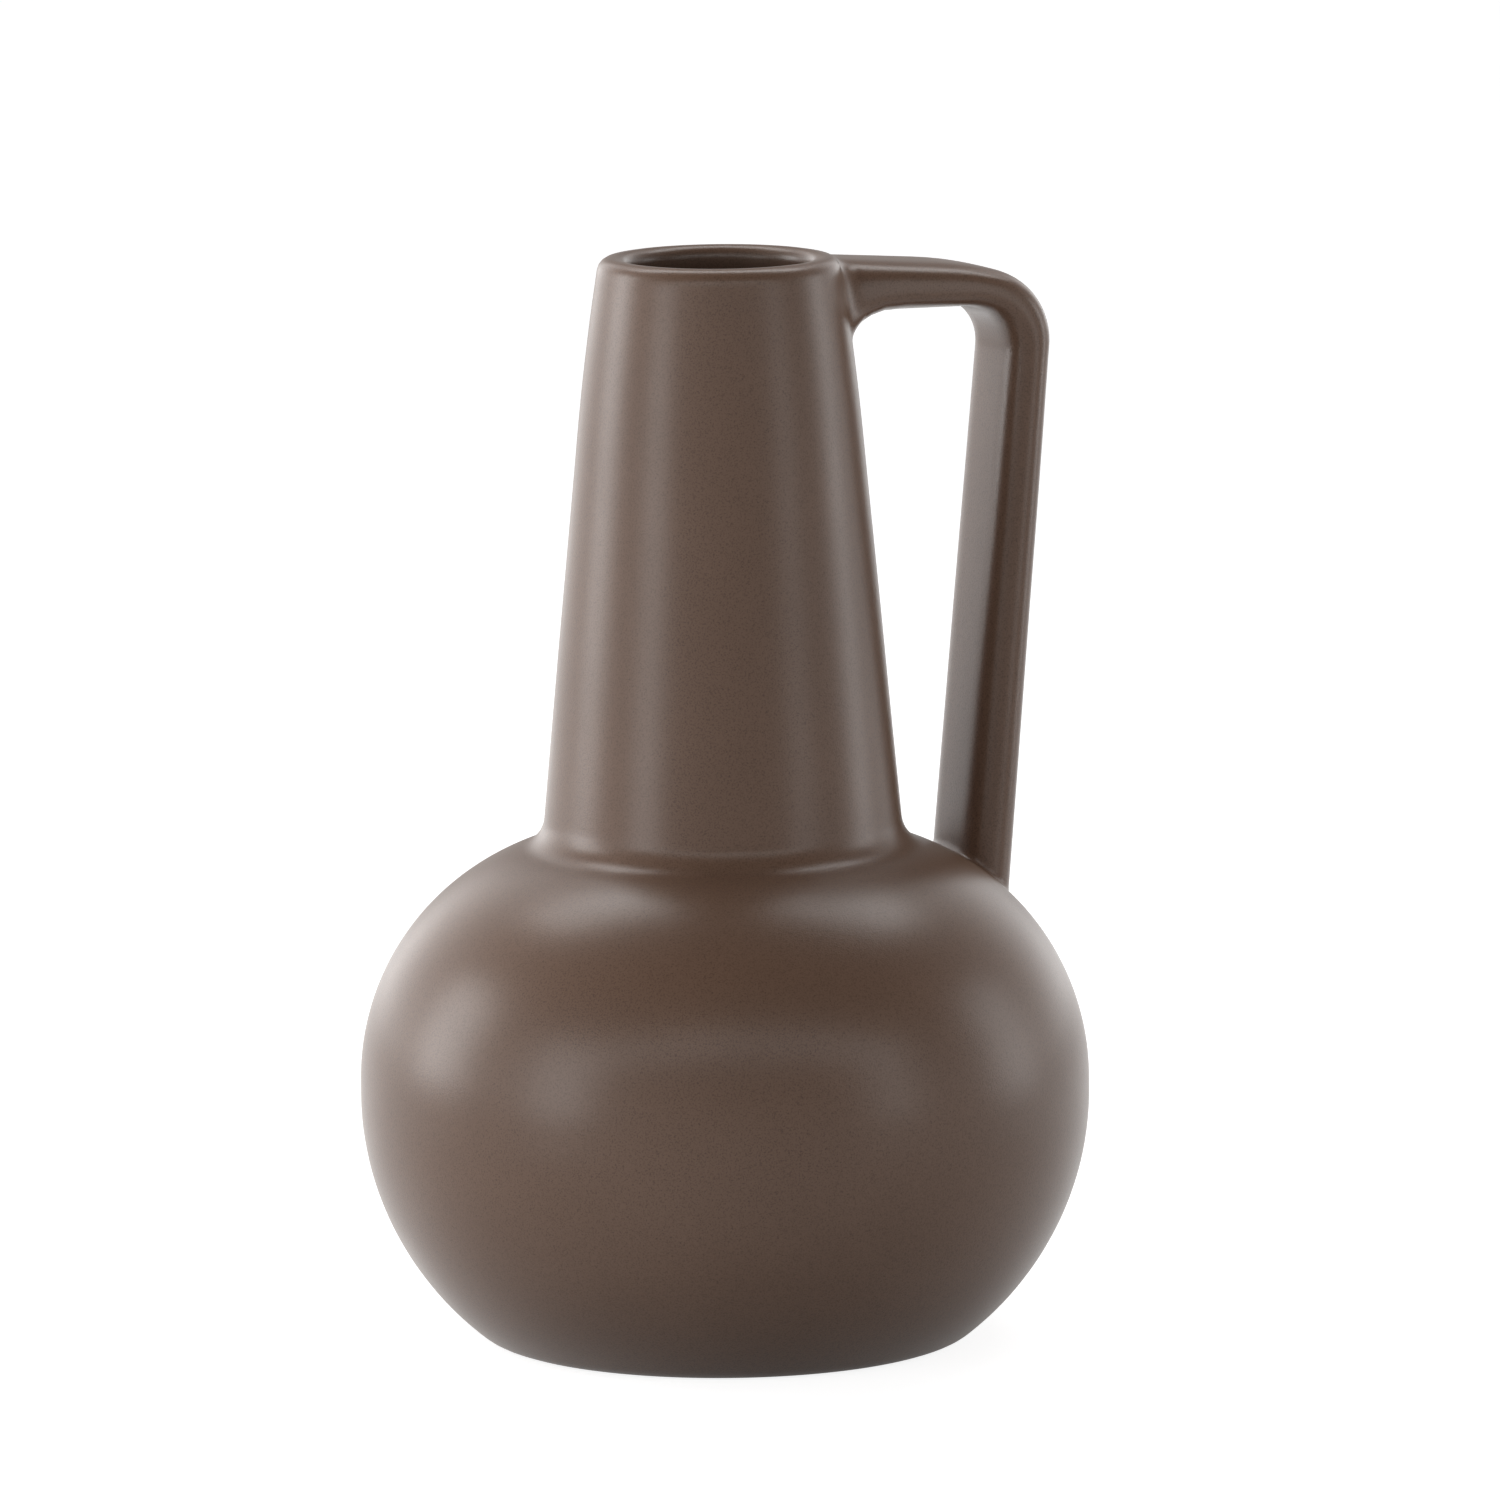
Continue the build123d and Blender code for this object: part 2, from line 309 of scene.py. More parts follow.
class VesselForm:
    """The vessel's half section, worked out from its sizes."""

    def __init__(self, sizes):
        self.sizes = sizes
        self.shoulder = Vector((sizes.shoulder_centre, sizes.belly_low + sizes.belly_band))
        self.lower = Vector((sizes.lower_centre, sizes.belly_low))
        self.shoulder_arc = sizes.belly_radius - sizes.shoulder_centre
        self.lower_arc = sizes.belly_radius - sizes.lower_centre
        self.crown = self.shoulder.y + self.shoulder_arc
        self.taper = (sizes.neck_foot_radius - sizes.rim_radius) / (sizes.height - self.crown)
        self.lean = atan(self.taper)
        seat_radius = sizes.neck_foot_radius + sizes.cove_radius + sizes.collar_land
        self.seat = acos((seat_radius - self.shoulder.x) / self.shoulder_arc)
        self.floor = sizes.recess_depth + sizes.floor_thickness

    def neck_radius(self, level, inset=0.0):
        """Radius of the neck at a level, drawn in by inset."""
        below = self.sizes.height - level
        drawn = max(0.0, 1 - below / self.sizes.draw_in_run)
        return self.sizes.rim_radius + self.taper * below - self.sizes.rim_drawn_in * drawn ** 2 - inset

    def seat_angle(self, side, inset):
        """Bearing of the joint's upper (+1) or lower (-1) side on the shoulder arc, drawn in by inset."""
        return self.seat + side * asin(self.sizes.slip / 2 / (self.shoulder_arc - inset))

    def on_arc(self, angle, inset=0.0):
        """Place on the shoulder arc, drawn in by inset."""
        return self.shoulder + bearing(angle) * (self.shoulder_arc - inset)

    def cove_centre(self, inset):
        """Centre of the cove between cone and shoulder, both drawn in by inset."""
        radius = self.sizes.cove_radius + inset
        along = Vector((-sin(self.lean), cos(self.lean)))
        base = Vector((self.sizes.neck_foot_radius - inset, self.crown)) + bearing(self.lean) * radius
        offset = base - self.shoulder
        reach = self.shoulder_arc - inset + radius
        ahead = along.dot(offset)
        return base + along * (sqrt(ahead ** 2 - offset.length_squared + reach ** 2) - ahead)

    def rim_radius_at(self, level):
        """Outside radius of the neck at a level, with the rim's outer round."""
        radius = self.sizes.rim_outer_round
        centre_level = self.sizes.height - radius
        if level <= centre_level + radius * sin(self.lean):
            return self.neck_radius(level)
        centre = self.neck_radius(centre_level) - radius / cos(self.lean)
        return centre + sqrt(max(0.0, radius ** 2 - (level - centre_level) ** 2))

    def neck_gap(self, place):
        """How far a place lies outside the neck."""
        return hypot(place.x, place.y) - self.rim_radius_at(place.z)

    def shoulder_gap(self, place):
        """How far a place lies outside the shoulder."""
        return (Vector((hypot(place.x, place.y), place.z)) - self.shoulder).length - self.shoulder_arc

    def on_neck(self, place):
        """The place on the neck's surface at the same bearing and level, or just below the rim's crest."""
        level = min(place.z, self.sizes.height - self.sizes.rim_outer_round * CREST_SHARE)
        scale = self.rim_radius_at(level) / hypot(place.x, place.y)
        return Vector((place.x * scale, place.y * scale, level))

    def on_shoulder(self, place):
        """The nearest place on the shoulder's surface."""
        radius = hypot(place.x, place.y)
        spot = Vector((radius, place.z)) - self.shoulder
        spot = self.shoulder + spot.normalized() * self.shoulder_arc
        return Vector((place.x * spot.x / radius, place.y * spot.x / radius, spot.y))


def draw_bulb(bm, form):
    """Half section of the bulb: from under its middle round the outside to the seat, and back inside."""
    sizes = form.sizes
    foot_arc = sizes.foot_edge_round
    foot_drop = sizes.belly_low - foot_arc
    foot_radius = form.lower.x + sqrt((form.lower_arc - foot_arc) ** 2 - foot_drop ** 2)
    foot_turn = asin(foot_drop / (form.lower_arc - foot_arc))
    recess_radius = foot_radius - sizes.foot_ring_width
    small = sizes.recess_round
    draw = Outline(bm, (0, sizes.recess_depth), INSIDE_PITCH)
    draw.corner((recess_radius, sizes.recess_depth), (recess_radius, 0), small)
    draw.corner((recess_radius, 0), (foot_radius, 0), small)
    draw.line((foot_radius, 0))
    draw.pitch = OUTSIDE_PITCH
    draw.arc((foot_radius, foot_arc), pi / 2 - foot_turn)
    draw.arc(form.lower, foot_turn)
    draw.line((sizes.belly_radius, form.shoulder.y))
    seat_out = form.seat_angle(-1, 0)
    seam = SEAM_PITCH / form.shoulder_arc
    draw.arc(form.shoulder, seat_out - seam)
    draw.arc(form.shoulder, seam, SEAM_PITCH)
    seat_in = form.seat_angle(-1, sizes.wall)
    draw.line(form.on_arc(seat_in, sizes.wall))
    draw.pitch = INSIDE_PITCH
    draw.arc(form.shoulder, -seat_in)
    draw.line((sizes.belly_radius - sizes.wall, form.lower.y))
    inner_arc = form.lower_arc - sizes.wall - sizes.floor_round
    floor_drop = sizes.belly_low - form.floor - sizes.floor_round
    floor_turn = asin(floor_drop / inner_arc)
    draw.arc(form.lower, -floor_turn)
    floor_radius = form.lower.x + sqrt(inner_arc ** 2 - floor_drop ** 2)
    draw.arc((floor_radius, form.floor + sizes.floor_round), floor_turn - pi / 2)
    draw.line((0, form.floor))


def draw_neck(bm, form):
    """Half section of the neck: from the seat up collar, cove and cone, round the rim and down inside."""
    sizes = form.sizes
    mouth = sizes.rim_radius - sizes.wall - sizes.lip
    seat_out = form.seat_angle(1, 0)
    draw = Outline(bm, form.on_arc(seat_out), OUTSIDE_PITCH)
    seam = SEAM_PITCH / form.shoulder_arc
    cove = form.cove_centre(0)
    cove_angle = (cove - form.shoulder).angle(Vector((1, 0)))
    draw.arc(form.shoulder, seam, SEAM_PITCH)
    draw.arc(form.shoulder, cove_angle - seat_out - seam)
    draw.arc(cove, -(cove_angle - form.lean))
    drawn_run = sizes.draw_in_run - 2 * sizes.rim_outer_round
    for step in range(NECK_STEPS):
        level = sizes.height - sizes.draw_in_run + drawn_run * step / NECK_STEPS
        draw.line((form.neck_radius(level), level))
    inner_foot = (form.neck_radius(form.crown, sizes.wall), form.crown)
    draw.corner((form.neck_radius(sizes.height), sizes.height), (mouth, sizes.height), sizes.rim_outer_round)
    draw.corner((mouth, sizes.height), inner_foot, sizes.rim_inner_round)
    draw.pitch = INSIDE_PITCH
    inner_cove = form.cove_centre(sizes.wall)
    inner_angle = (inner_cove - form.shoulder).angle(Vector((1, 0)))
    inner_radius = sizes.cove_radius + sizes.wall
    draw.line(inner_cove - bearing(form.lean) * inner_radius)
    draw.arc(inner_cove, inner_angle - form.lean)
    draw.arc(form.shoulder, form.seat_angle(1, sizes.wall) - inner_angle)
    draw.close()


def draw_neck_slip(bm, form):
    """Half section of the ring of slip between bulb and neck."""
    wall = form.sizes.wall
    low, high = form.seat_angle(-1, 0), form.seat_angle(1, 0)
    low_in, high_in = form.seat_angle(-1, wall), form.seat_angle(1, wall)
    draw = Outline(bm, form.on_arc(low), INSIDE_PITCH)
    draw.arc(form.shoulder, high - low)
    draw.line(form.on_arc(high_in, wall))
    draw.arc(form.shoulder, low_in - high_in)
    draw.close()


def turn_round(bm, segments):
    """Turns a half section once round the Z axis, with its faces outwards."""
    bmesh.ops.spin(bm, geom=[*bm.verts, *bm.edges], cent=(0, 0, 0), axis=(0, 0, 1), angle=tau, steps=segments,
                   use_merge=True)
    bmesh.ops.remove_doubles(bm, verts=bm.verts, dist=MERGE_DISTANCE)
    bmesh.ops.recalc_face_normals(bm, faces=bm.faces)


class HandleForm:
    """The handle's side view and section, worked out from its sizes and the vessel's."""

    def __init__(self, vessel, sizes):
        self.vessel = vessel
        self.sizes = sizes
        top = vessel.sizes.height - sizes.arm_drop
        below = top - sizes.arm_thickness
        self.inner_lean = sizes.strap_lean + sizes.strap_taper
        root = Vector((vessel.neck_radius(top), top))
        knee = falling(root, sizes.arm_slope, sizes.strap_reach - sizes.knee_setback)
        corner = falling(knee, sizes.arm_fall, sizes.strap_reach)
        inner_top = corner - Vector((sizes.strap_thickness, 0))
        armpit = Vector((vessel.neck_radius(below) - sizes.root_sink, below))
        inner_corner = crossing(armpit, falling(armpit, sizes.underside_slope, sizes.strap_reach),
                                inner_top, leaning(inner_top, self.inner_lean, vessel.shoulder.y))
        foot = leaning(inner_top, self.inner_lean, vessel.shoulder.y)
        self.outer = rounded([falling(root, sizes.arm_slope, 0), knee, corner,
                              leaning(corner, sizes.strap_lean, vessel.shoulder.y)],
                             [sizes.knee_round, sizes.outer_corner_round])
        root_end = armpit + Vector((vessel.taper, -1)) * 2 * sizes.root_round
        below_root = rounded([root_end, armpit, inner_corner], [sizes.root_round])[1:]
        self.under = [below_root[0] - Vector((sizes.arm_thickness, 0)), *below_root]
        start, self.bend, self.bend_turn = corner_arc(armpit, inner_corner, foot, sizes.inner_corner_round)
        self.bend_start = (start - self.bend).angle(Vector((1, 0)))
        self.arm_end = start.x
        self.strap_start = self.bend + bearing(-self.inner_lean) * sizes.inner_corner_round
        self.ranks = range(SECTION_CORNERS)

    def between(self, inner, outer, rank, shrink, strapness):
        """Place of a corner of the section that runs from an inner to an outer place."""
        sizes = self.sizes
        angle = tau * rank / SECTION_CORNERS
        strap_fullness = sizes.strap_fullness if sin(angle) < 0 else sizes.strap_back
        fullness = sizes.arm_fullness + (strap_fullness - sizes.arm_fullness) * strapness
        side = sizes.arm_side + (sizes.strap_side - sizes.arm_side) * strapness
        across = copysign(abs(cos(angle)) ** (2 / fullness), cos(angle))
        depth = copysign(abs(sin(angle)) ** (2 / side), sin(angle))
        spot = inner.lerp(outer, (1 + depth * shrink) / 2)
        return Vector((spot.x, across * shrink * sizes.width / 2, spot.y))

    def on_arm(self, reach, rank, shrink=1.0):
        """Corner of the upright section through the arm, at a distance from the axis."""
        upright = Vector((reach, 0)), Vector((reach, 2 * self.vessel.sizes.height))
        return self.between(meeting(self.under, *upright), meeting(self.outer, *upright), rank, shrink, 0.0)

    def on_bend(self, angle, rank):
        """Corner of the section through the bend, at a bearing from the centre of its inner round."""
        inner = self.bend + bearing(angle) * self.sizes.inner_corner_round
        far = self.bend + bearing(angle) * self.sizes.strap_reach
        strapness = (angle - self.bend_start) / self.bend_turn
        return self.between(inner, meeting(self.outer, self.bend, far), rank, 1.0, strapness)

    def on_strap(self, way, rank, shrink=1.0):
        """Corner of the section square to the strap's inner face, some way down it."""
        inner = self.strap_start - Vector((sin(self.inner_lean), cos(self.inner_lean))) * way
        far = inner + bearing(-self.inner_lean) * self.sizes.strap_reach
        return self.between(inner, meeting(self.outer, inner, far), rank, shrink, 1.0)

    def at_neck(self, gaps, shrink=1.0):
        """Section whose corners lie their gaps off the neck."""
        return [slide(lambda reach: self.on_arm(reach, rank, shrink), self.vessel.neck_gap, gap,
                      self.under[0].x, self.arm_end) for rank, gap in zip(self.ranks, gaps)]

    def at_shoulder(self, gaps, shrink=1.0):
        """Section whose corners lie their gaps off the shoulder."""
        deep = self.strap_start.y - self.vessel.shoulder.y - self.sizes.strap_reach * SEARCH_RISE
        return [slide(lambda way: self.on_strap(way, rank, shrink), self.vessel.shoulder_gap, gap, deep, 0)
                for rank, gap in zip(self.ranks, gaps)]

    def round_section(self, side, inner, outer):
        """A size for each corner of the section, given on its sides, its inner face and its outer face."""
        angles = [tau * rank / SECTION_CORNERS for rank in self.ranks]
        return [side * cos(a) ** 2 + (inner if sin(a) < 0 else outer) * sin(a) ** 2 for a in angles]


def falling(start, angle, reach):
    """Place at a distance from the axis, on a line that falls outwards from start."""
    return Vector((reach, start.y - (reach - start.x) * tan(angle)))


def leaning(start, angle, level):
    """Place at a level, on a line that leans from start towards the axis going down."""
    return Vector((start.x - (start.y - level) * tan(angle), level))


def crossing(start, end, other_start, other_end):
    """Place where two lines of the side view cross."""
    return Vector(intersect_line_line_2d(start, end, other_start, other_end))


def rounded(places, radii):
    """Chain through places of the side view, with the corners between the first and the last rounded."""
    chain = [places[0]]
    for corner, after, radius in zip(places[1:], places[2:], radii):
        start, centre, turn = corner_arc(chain[-1], corner, after, radius)
        steps = ceil(radius * abs(turn) / CHAIN_PITCH)
        for step in range(steps + 1):
            chain.append(centre + Matrix.Rotation(turn * step / steps, 2) @ (start - centre))
    return [*chain, places[-1]]


def meeting(chain, start, end):
    """Place where a chain first crosses the way from start to end."""
    spots = [intersect_line_line_2d(a, b, start, end) for a, b in zip(chain, chain[1:])]
    return min((Vector(s) for s in spots if s is not None), key=lambda s: (s - start).length)


def slide(place_at, gap_of, gap, near, far):
    """Place on a way from near to far that lies a gap off the vessel, found by halving."""
    for _ in range(HALVINGS):
        middle = (near + far) / 2
        if gap_of(place_at(middle)) < gap:
            near = middle
        else:
            far = middle
    return place_at(far)


def extrude_loop(bm, loop):
    """Extrudes a closed loop of vertices and gives the new loop in the same order."""
    edges = [bm.edges.get((a, b)) for a, b in zip(loop, loop[1:] + loop[:1])]
    made = set(bmesh.ops.extrude_edge_only(bm, edges=edges)["geom"])
    return [next(e.other_vert(v) for e in v.link_edges if e.other_vert(v) in made) for v in loop]


def loft(bm, stations):
    """Closed piece whose section passes through the stations, each a list of places for its corners."""
    loop = bmesh.ops.create_circle(bm, segments=SECTION_CORNERS, radius=1.0)["verts"]
    bm.faces.new(loop)
    for number, places in enumerate(stations):
        if number:
            loop = extrude_loop(bm, loop)
        for vertex, place in zip(loop, places):
            vertex.co = place
    bm.faces.new(loop)
    bmesh.ops.recalc_face_normals(bm, faces=bm.faces)


def handle_stations(form):
    """Sections along the handle, from its end at the neck round the bend to its end on the shoulder."""
    ranks = form.ranks
    gaps = [[gap] * SECTION_CORNERS for gap in (form.vessel.sizes.slip, *END_GAPS)]
    stations = [form.at_neck(gaps[0], shrink) for shrink in CAP_SHRINKS]
    stations += [form.at_neck(gap) for gap in gaps]
    start = max(place.x for place in stations[-1])
    steps = ceil((form.arm_end - start) / STRAP_PITCH)
    stations += [[form.on_arm(start + (form.arm_end - start) * step / steps, rank) for rank in ranks]
                 for step in range(1, steps)]
    turns = ceil(form.sizes.outer_corner_round * abs(form.bend_turn) / OUTSIDE_PITCH)
    stations += [[form.on_bend(form.bend_start + form.bend_turn * turn / turns, rank) for rank in ranks]
                 for turn in range(turns)]
    foot = [form.at_shoulder(gap) for gap in gaps[::-1]]
    foot += [form.at_shoulder(gaps[0], shrink) for shrink in CAP_SHRINKS[::-1]]
    drop = form.strap_start.y - max(place.z for place in foot[0])
    steps = ceil(drop / STRAP_PITCH)
    stations += [[form.on_strap(drop * step / steps, rank) for rank in ranks] for step in range(steps)]
    return stations + foot


def bead_stations(form, at_end, on_vessel, beads, spread_share):
    """Sections through a slip joint: the layer under the handle's end, the fillet round it, the underside."""
    slip = [form.vessel.sizes.slip] * SECTION_CORNERS
    none = [0.0] * SECTION_CORNERS
    layer = [at_end(slip, shrink) for shrink in CAP_SHRINKS] + [at_end(slip)]
    crest, seam = at_end(beads), at_end(none)
    middle = sum(seam, Vector()) / len(seam)
    spread = []
    for number, place in enumerate(seam):
        along = seam[(number + 1) % len(seam)] - seam[number - 1]
        away = (crest[number] - place).normalized()
        out = along.cross(away).normalized()
        if out.dot(place - middle) < 0:
            out = -out
        spread.append(on_vessel(place + out * beads[number] * spread_share))
    fillet = []
    for step in range(BEAD_STEPS + 1):
        t = step / BEAD_STEPS
        fillet.append([a * (1 - t) ** 2 + b * 2 * t * (1 - t) + c * t ** 2
                       for a, b, c in zip(crest, seam, spread)])
    return layer + fillet + [seam] + [at_end(none, shrink) for shrink in CAP_SHRINKS[::-1]]


def uneven(place, sizes):
    """A place on the vessel, strayed as far as a hand-finished surface does. The foot plane stays flat."""
    stray = noise.noise_vector(place / sizes.uneven_span) * sizes.unevenness
    stray.z *= min(1.0, max(0.0, place.z / sizes.uneven_span))
    return place + stray


def add_piece(bm, name, sizes, materials):
    """Ends a mesh: strays its surface, shades it, gives it its materials and rides it on the body."""
    noise.seed_set(UNEVEN_SEED)
    for vertex in bm.verts:
        vertex.co = uneven(vertex.co, sizes)
    for face in bm.faces:
        face.smooth = True
    for edge in bm.edges:
        edge.smooth = edge.calc_face_angle(0.0) < SHARP_ANGLE
    mesh = bpy.data.meshes.new(name)
    bm.to_mesh(mesh)
    bm.free()
    for material in materials:
        mesh.materials.append(material)
    piece = bpy.data.objects.new("glazed_" + name, mesh)
    bpy.context.scene.collection.objects.link(piece)
    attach(piece, BODY)
    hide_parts(name)
    return piece


def new_material(name):
    """New node material, with its tree and its shader."""
    material = bpy.data.materials.new(name)
    material.use_nodes = True
    tree = material.node_tree
    return material, tree, tree.nodes["Principled BSDF"]


def add_node(tree, kind, inputs=(), **settings):
    """Adds a node with its settings. An input is a value or another node's socket."""
    node = tree.nodes.new(kind)
    for key, value in settings.items():
        setattr(node, key, value)
    for key, value in dict(inputs).items():
        if isinstance(value, bpy.types.NodeSocket):
            tree.links.new(value, node.inputs[key])
        else:
            node.inputs[key].default_value = value
    return node


def noise_texture(tree, place, scale, detail):
    """Socket with a noise at a place."""
    inputs = {"Vector": place, "Scale": scale, "Detail": detail}
    return add_node(tree, "ShaderNodeTexNoise", inputs).outputs["Fac"]


def map_range(tree, value, start, end, low=0.0, high=1.0, **settings):
    """Socket that goes from low to high while a value goes from start to end."""
    inputs = {"Value": value, "From Min": start, "From Max": end, "To Min": low, "To Max": high}
    return add_node(tree, "ShaderNodeMapRange", inputs, **settings).outputs["Result"]


def mix_colours(tree, factor, first, second):
    """Socket with a mix of two colours."""
    inputs = {"Factor": factor, "A": first, "B": second}
    return add_node(tree, "ShaderNodeMix", inputs, data_type="RGBA").outputs["Result"]


def number_math(tree, operation, *values):
    """Socket with what an operation makes of numbers."""
    return add_node(tree, "ShaderNodeMath", dict(enumerate(values)), operation=operation).outputs["Value"]


def vector_math(tree, operation, *values, result="Vector"):
    """Socket with what an operation makes of directions."""
    node = add_node(tree, "ShaderNodeVectorMath", dict(enumerate(values)), operation=operation)
    return node.outputs[result]


def add_skin(tree, shader, height, strength, depth):
    """Gives a surface a fine relief."""
    bump = add_node(tree, "ShaderNodeBump", {"Height": height, "Strength": strength, "Distance": depth})
    tree.links.new(bump.outputs["Normal"], shader.inputs["Normal"])


def opaque(colour):
    """A colour with its alpha."""
    return (*colour, 1.0)


def glaze_material(inside=False):
    """Satin taupe glaze: soft clouds and a fine mottle of dark flecks. Inside, painted shade darkens it to
    near black below the rim.
    """
    name = "satin_glaze_painted_inside_shade" if inside else "satin_taupe_glaze"
    if name in bpy.data.materials:
        return bpy.data.materials[name]
    looks = bpy.context.scene.jug_glaze
    material, tree, shader = new_material(name)
    place = add_node(tree, "ShaderNodeTexCoord").outputs["Object"]
    clouds = noise_texture(tree, place, *CLOUDS)
    mottle = noise_texture(tree, place, *MOTTLE)
    cloud = map_range(tree, clouds, *CLOUD_RANGE)
    fleck = map_range(tree, mottle, *FLECK_RANGE, high=FLECK_SHARE)
    body = mix_colours(tree, cloud, opaque(looks.glaze), opaque(looks.glaze_light))
    tone = mix_colours(tree, fleck, body, opaque(looks.glaze_dark))
    # Painted shade: going down from the rim the colour turns to near black, in place of the shade deep inside
    # the vessel
    if inside:
        rim = bpy.context.scene.jug_vessel.height
        level = add_node(tree, "ShaderNodeSeparateXYZ", {"Vector": place}).outputs["Z"]
        depth = map_range(tree, level, rim, rim - looks.inside_run)
        tone = mix_colours(tree, depth, tone, opaque(looks.painted_inside_shade))
    tree.links.new(tone, shader.inputs["Base Color"])
    rough, smooth = looks.roughness + ROUGHNESS_SPREAD, looks.roughness - ROUGHNESS_SPREAD
    tree.links.new(map_range(tree, clouds, 0.0, 1.0, rough, smooth), shader.inputs["Roughness"])
    shader.inputs["Specular IOR Level"].default_value = looks.shine
    add_skin(tree, shader, mottle, *GLAZE_SKIN)
    return material


def clay_material():
    """Bare fired clay of the foot ring, dry and grainy."""
    looks = bpy.context.scene.jug_glaze
    material, tree, shader = new_material("bare_clay")
    place = add_node(tree, "ShaderNodeTexCoord").outputs["Object"]
    grain = noise_texture(tree, place, *CLAY_GRAIN)
    tone = mix_colours(tree, grain, opaque(looks.clay), opaque(looks.clay_dark))
    tree.links.new(tone, shader.inputs["Base Color"])
    shader.inputs["Roughness"].default_value = CLAY_ROUGHNESS
    add_skin(tree, shader, grain, *CLAY_SKIN)
    return material


class JUG_OT_bulb(bpy.types.Operator):
    """Models the round bulb with its foot ring and glazes it"""
    bl_idname = "jug.bulb"
    bl_label = "Bulb"

    def execute(self, context):
        sizes = context.scene.jug_vessel
        bm = bmesh.new()
        draw_bulb(bm, VesselForm(sizes))
        turn_round(bm, sizes.segments)
        materials = [glaze_material(), clay_material(), glaze_material(inside=True)]
        heart = Vector((0, 0, sizes.belly_low))
        for face in bm.faces:
            middle = face.calc_center_median()
            if middle.z < BARE_LEVEL:
                face.material_index = 1
            # Inward faces get the glaze with painted shade, near black all over inside the bulb
            elif middle.z > sizes.floor_thickness and face.normal.dot(heart - middle) > 0:
                face.material_index = 2
        add_piece(bm, "bulb", sizes, materials)
        return {"FINISHED"}


class JUG_OT_neck(bpy.types.Operator):
    """Models the tapering neck with its rim and collar and glazes it"""
    bl_idname = "jug.neck"
    bl_label = "Neck"

    def execute(self, context):
        sizes = context.scene.jug_vessel
        bm = bmesh.new()
        draw_neck(bm, VesselForm(sizes))
        turn_round(bm, sizes.segments)
        for face in bm.faces:
            # Inward faces get the glaze with painted shade, darkening to near black below the rim
            if face.normal.xy.dot(face.calc_center_median().xy) < 0:
                face.material_index = 1
        add_piece(bm, "neck", sizes, [glaze_material(), glaze_material(inside=True)])
        return {"FINISHED"}


class JUG_OT_handle(bpy.types.Operator):
    """Models the squared strap handle and glazes it"""
    bl_idname = "jug.handle"
    bl_label = "Handle"

    def execute(self, context):
        sizes = context.scene.jug_vessel
        form = HandleForm(VesselForm(sizes), context.scene.jug_handle)
        bm = bmesh.new()
        loft(bm, handle_stations(form))
        add_piece(bm, "handle", sizes, [glaze_material()])
        return {"FINISHED"}


class JUG_OT_slip_joints(bpy.types.Operator):
    """Models the slip between bulb and neck and under both ends of the handle"""
    bl_idname = "jug.slip_joints"
    bl_label = "Slip joints"

    def execute(self, context):
        sizes = context.scene.jug_vessel
        vessel = VesselForm(sizes)
        bm = bmesh.new()
        draw_neck_slip(bm, vessel)
        turn_round(bm, sizes.segments)
        add_piece(bm, "neck_slip_joint", sizes, [glaze_material()])
        handle = context.scene.jug_handle
        form = HandleForm(vessel, handle)
        top_beads = form.round_section(handle.top_side_bead, handle.top_under_bead, handle.top_bead)
        foot_beads = form.round_section(handle.foot_bead, handle.foot_inner_bead, handle.foot_bead)
        ends = (
            ("handle_top_slip_joint", form.at_neck, vessel.on_neck, top_beads, TOP_SPREAD),
            ("handle_foot_slip_joint", form.at_shoulder, vessel.on_shoulder, foot_beads, handle.foot_spread),
        )
        for name, *end in ends:
            bm = bmesh.new()
            loft(bm, bead_stations(form, *end))
            add_piece(bm, name, sizes, [glaze_material()])
        return {"FINISHED"}


def studio_direction(azimuth, elevation):
    """Unit step away from the vessel. Azimuth 0 is towards the camera, and positive to the camera's right."""
    turn = azimuth - CAMERA_TURN
    return Vector((sin(turn) * cos(elevation), -cos(turn) * cos(elevation), sin(elevation)))


def add_camera(scene):
    """Camera that looks at the vessel as the photograph does."""
    right = studio_direction(pi / 2, 0)
    aim = right * AIM_RIGHT + Vector((0, 0, AIM_LEVEL))
    back = studio_direction(0, CAMERA_RISE)
    data = bpy.data.cameras.new("camera")
    data.lens = CAMERA_LENS
    data.sensor_width = SENSOR_WIDTH
    data.clip_end = CAMERA_REACH
    camera = bpy.data.objects.new("camera", data)
    turn = back.to_track_quat("Z", "Y").to_matrix().to_4x4()
    roll = Matrix.Rotation(CAMERA_ROLL, 4, "Z")
    camera.matrix_world = Matrix.Translation(aim + back * CAMERA_DISTANCE) @ turn @ roll
    scene.collection.objects.link(camera)
    scene.camera = camera


def add_light(scene, name, brightness, azimuth, elevation, distance, width, height):
    """Rectangular light that faces the belly, with its brightness given as that of a white surface."""
    data = bpy.data.lights.new(name, "AREA")
    data.shape = "RECTANGLE"
    data.size = width
    data.size_y = height
    data.energy = brightness * pi * width * height
    light = bpy.data.objects.new(name, data)
    light.visible_camera = False
    out = studio_direction(radians(azimuth), radians(elevation))
    across = studio_direction(radians(azimuth + 90), 0)
    facing = Matrix((across, out.cross(across), out)).transposed().to_4x4()
    light.matrix_world = Matrix.Translation(out * distance + Vector((0, 0, BELLY_LEVEL))) @ facing
    scene.collection.objects.link(light)


